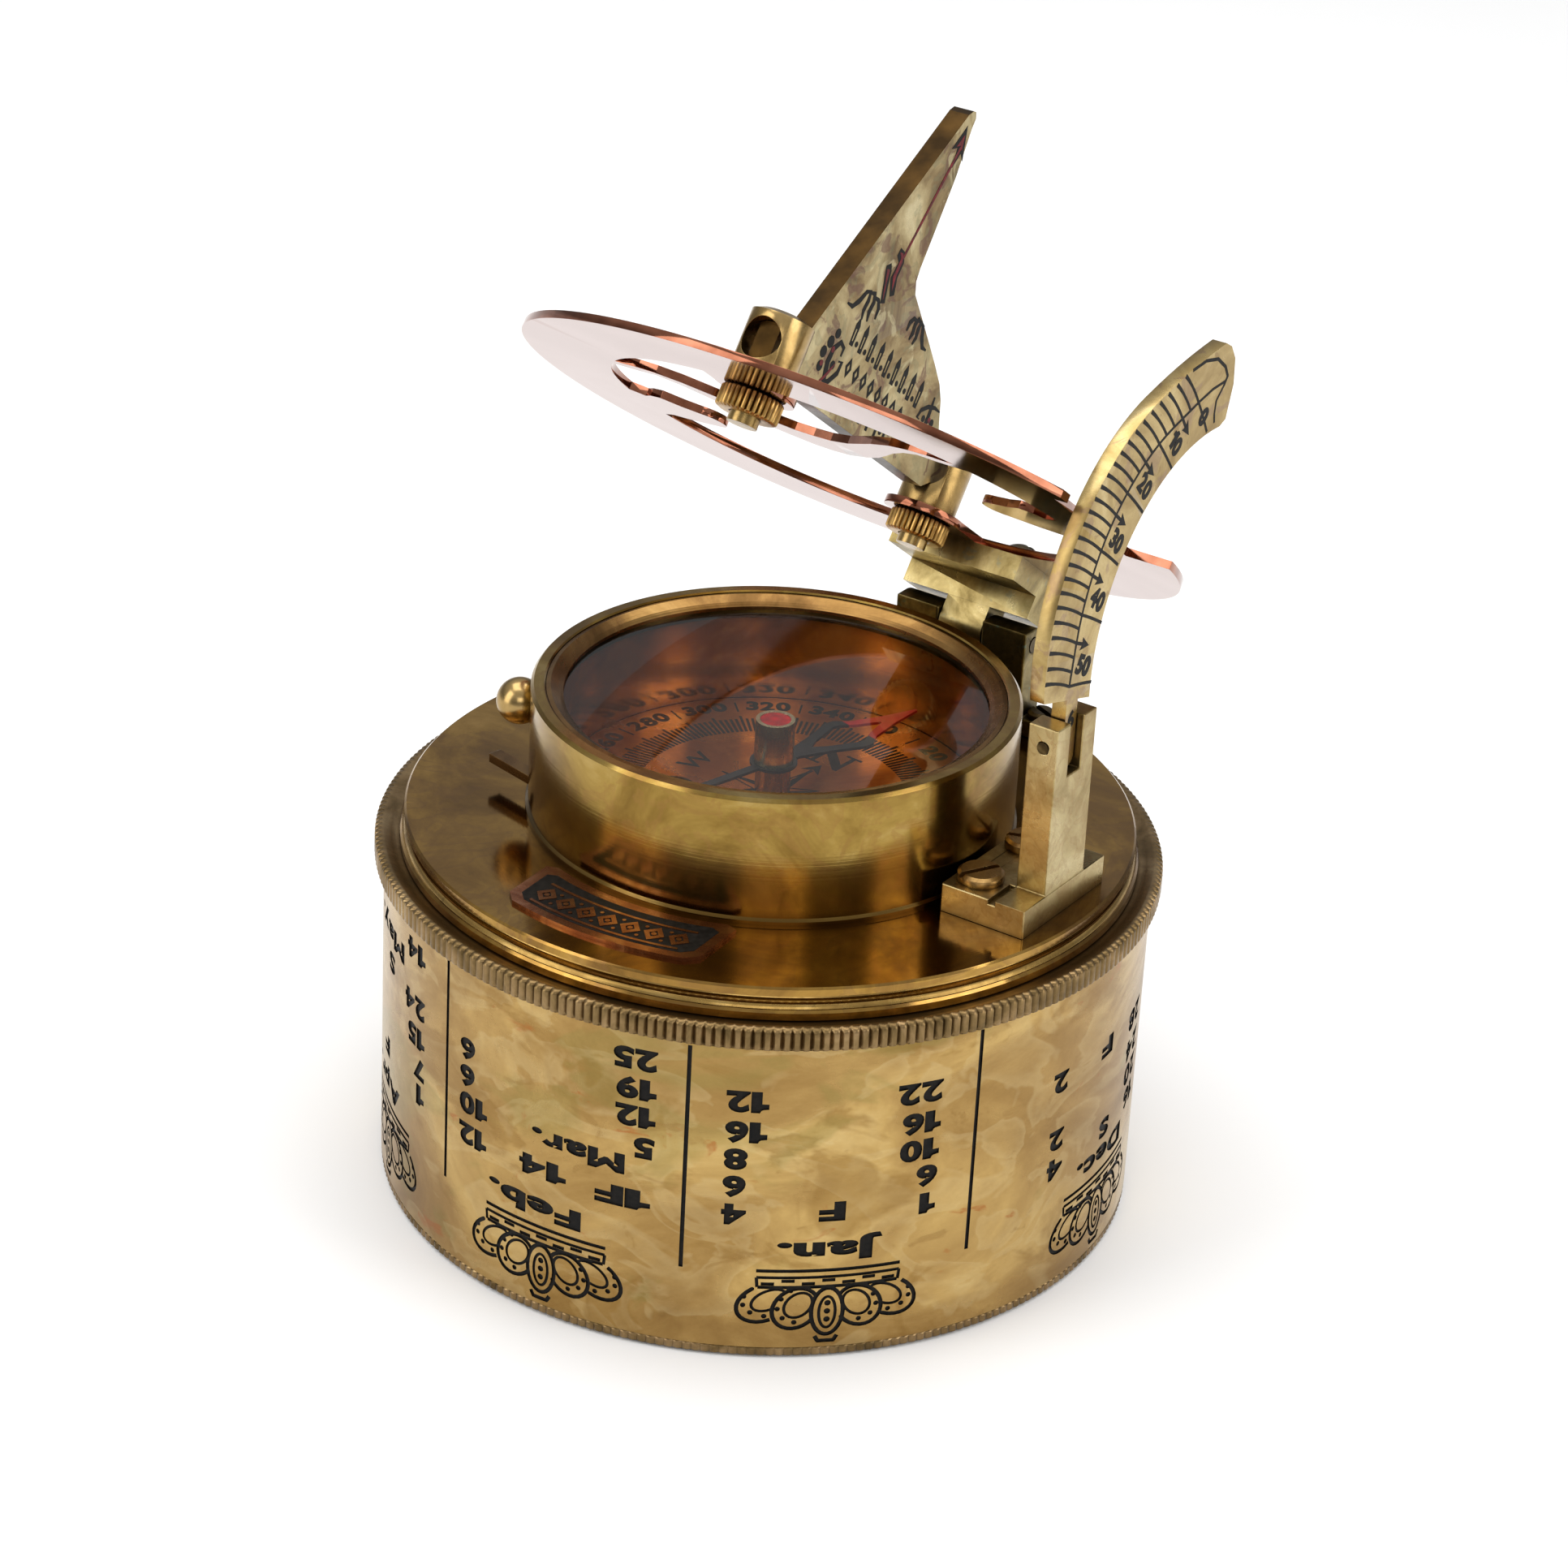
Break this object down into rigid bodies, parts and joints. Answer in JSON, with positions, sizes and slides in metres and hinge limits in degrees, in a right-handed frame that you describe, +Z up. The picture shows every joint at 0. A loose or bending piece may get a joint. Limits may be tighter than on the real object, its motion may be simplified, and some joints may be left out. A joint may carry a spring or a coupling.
{
  "type": "folding sundial compass",
  "caption": "Folding brass sundial compass with tilting copper hour plate, hinged gnomon and latitude arc, standing on its inverted calendar lid.",
  "frame": {"origin": "centre of the calendar lid's flat resting face", "axes": "+Z up, away from the resting face; -Y towards the viewer of the engraved side; the latitude arc stands at the +X, -Y side and the hour plate hinges at the +X, +Y side"},
  "size_m": [0.0788, 0.076, 0.1018],
  "materials": {
    "brass_cup": "mottled aged patina with black-filled engraving",
    "brass_plain": "lightly tarnished, brushed",
    "brass_case": "turned and polished",
    "brass_ring": "browned, turned",
    "brass_gnomon": "blotchy patina, engraved and paint-filled",
    "brass_dark": "dark tarnish",
    "copper_plate": "polished copper",
    "copper_dial": "satin copper with black-filled engraving",
    "label_black": "black enamel field in a copper border",
    "glass_clear": "clear polished",
    "needle_black": "black enamel, red tip",
    "jewel_red": "red glass cabochon"
  },
  "bodies": {
    "cup": {"calendar_cup": "brass_cup"},
    "base": {"base_disc": "brass_plain", "compass_case": "brass_case", "dial_card": "copper_dial", "dial_rivet": "brass_dark", "needle_pivot": "brass_plain", "case_glass": "glass_clear", "retaining_ring": "brass_ring", "ball_knob": "brass_plain", "maker_plate": "label_black", "arc_bracket": "brass_plain", "bracket_screw_a": "brass_plain", "bracket_screw_b": "brass_plain", "arc_pin": "brass_dark", "hinge_base": "brass_dark", "hinge_screw_a": "brass_dark", "hinge_screw_b": "brass_dark", "hinge_pin": "brass_dark", "case_screw_a": "brass_dark", "case_screw_b": "brass_dark", "case_screw_c": "brass_dark"},
    "plate": {"hour_plate": "copper_plate", "hinge_block": "brass_plain", "plate_screw_a": "brass_dark", "plate_screw_b": "brass_dark", "gnomon_post_upper": "brass_plain", "gnomon_post_lower": "brass_plain", "post_nut_upper": "brass_plain", "post_nut_lower": "brass_plain"},
    "gnomon": {"gnomon": "brass_gnomon"},
    "arc": {"latitude_arc": "brass_plain"},
    "needle": {"needle": "needle_black", "needle_cap": "brass_plain", "cap_jewel": "jewel_red"},
    "lifter": {"lift_ring": "brass_plain"},
    "lock": {"lock_lever": "brass_dark"}
  },
  "joints": [
    {"name": "base_lift", "type": "slide", "parent": "cup", "child": "base", "axis": [0, 0, 1], "range_m": [0, 0.008]},
    {"name": "plate_tilt", "type": "hinge", "parent": "base", "child": "plate", "pos_m": [0.01647, 0.02555, 0.0477], "axis": [-0.8406, 0.5417, 0], "range_deg": [-36.3, 44]},
    {"name": "gnomon_fold", "type": "hinge", "parent": "plate", "child": "gnomon", "pos_m": [0.00685, 0.01062, 0.075], "axis": [-0.4366, -0.6774, 0.592], "range_deg": [0, 90]},
    {"name": "arc_fold", "type": "hinge", "parent": "base", "child": "arc", "pos_m": [0.02623, -0.0169, 0.0561], "axis": [0.5417, 0.8406, 0], "range_deg": [0, 90]},
    {"name": "needle_spin", "type": "hinge", "parent": "base", "child": "needle", "pos_m": [0, 0, 0.0427], "axis": [0, 0, 1], "continuous": true},
    {"name": "needle_lock", "type": "slide", "parent": "base", "child": "lock", "axis": [0.6858, -0.7278, 0], "range_m": [0, 0.0015]},
    {"name": "lifter_rise", "type": "slide", "parent": "base", "child": "lifter", "axis": [0, 0, 1], "range_m": [0, 0.00025]}
  ],
  "couplings": [
    {"joint": "lifter_rise", "follows": "needle_lock", "ratio": 0.16667}
  ]
}
